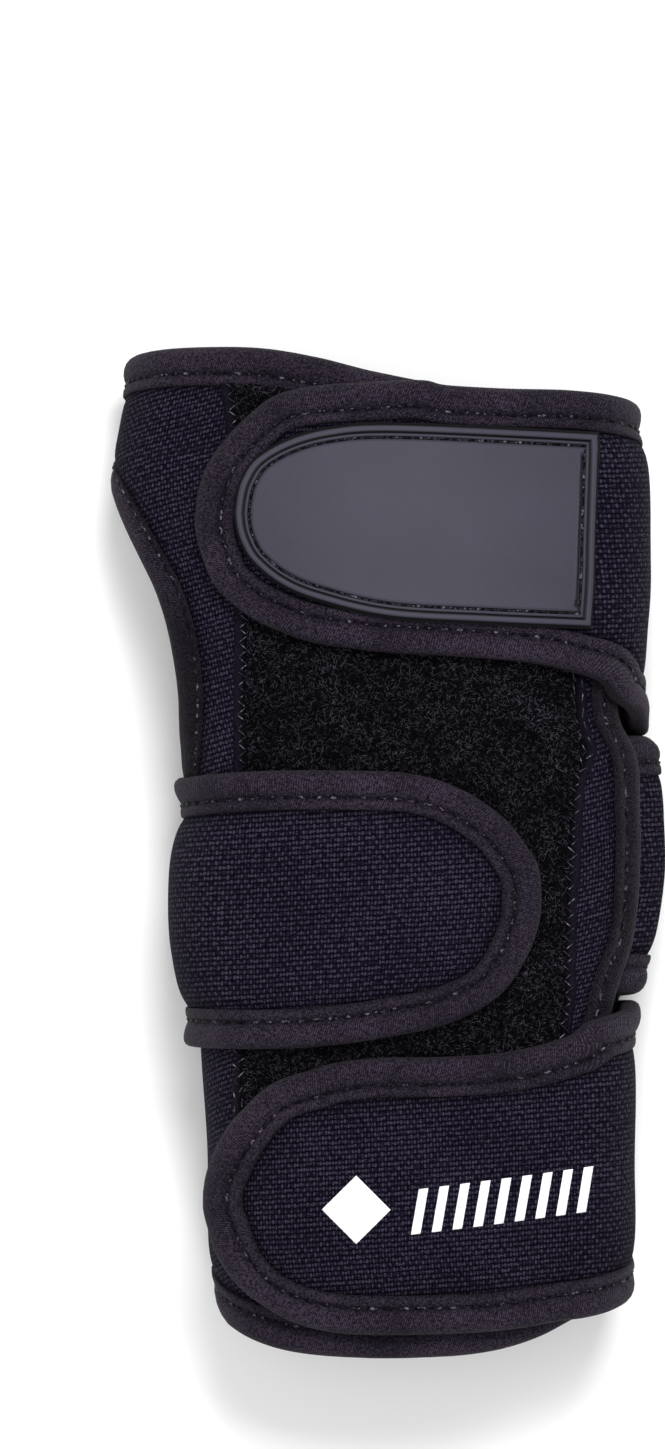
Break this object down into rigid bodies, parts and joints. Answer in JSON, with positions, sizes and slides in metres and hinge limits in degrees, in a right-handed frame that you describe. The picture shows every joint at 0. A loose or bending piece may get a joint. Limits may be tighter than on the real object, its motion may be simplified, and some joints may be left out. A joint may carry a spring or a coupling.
{
  "type": "bowling glove, padded wrist-support type",
  "caption": "Padded canvas wrist-support glove for the right hand, with bound edges, a thumb opening, a pile panel and wrap-round closing straps.",
  "frame": {"origin": "under the middle of the whole glove, on the surface that its palm side lies on", "axes": "+Y towards the fingers, +Z from the palm to the back of the hand, +X towards the little-finger side"},
  "size_m": [0.1046, 0.1918, 0.0507],
  "materials": {
    "canvas": "coarse black canvas weave",
    "binding": "smooth charcoal knit bias binding",
    "loop_pile": "short curly black pile",
    "grey_rubber": "smooth matt moulded rubber",
    "thread": "black sewing thread",
    "print": "flat white screen print"
  },
  "bodies": {
    "root": {"body_shell": "canvas", "finger_end_binding": "binding", "wrist_end_binding": "binding", "thumb_opening_binding": "binding", "dorsal_edge_binding": "binding", "palm_edge_binding": "binding", "loop_panel": "loop_pile", "upper_strap": "canvas", "upper_strap_binding": "binding", "lower_strap": "canvas", "lower_strap_binding": "binding", "middle_strap": "canvas", "middle_strap_binding": "binding", "pull_tab": "grey_rubber"}
  },
  "joints": []
}
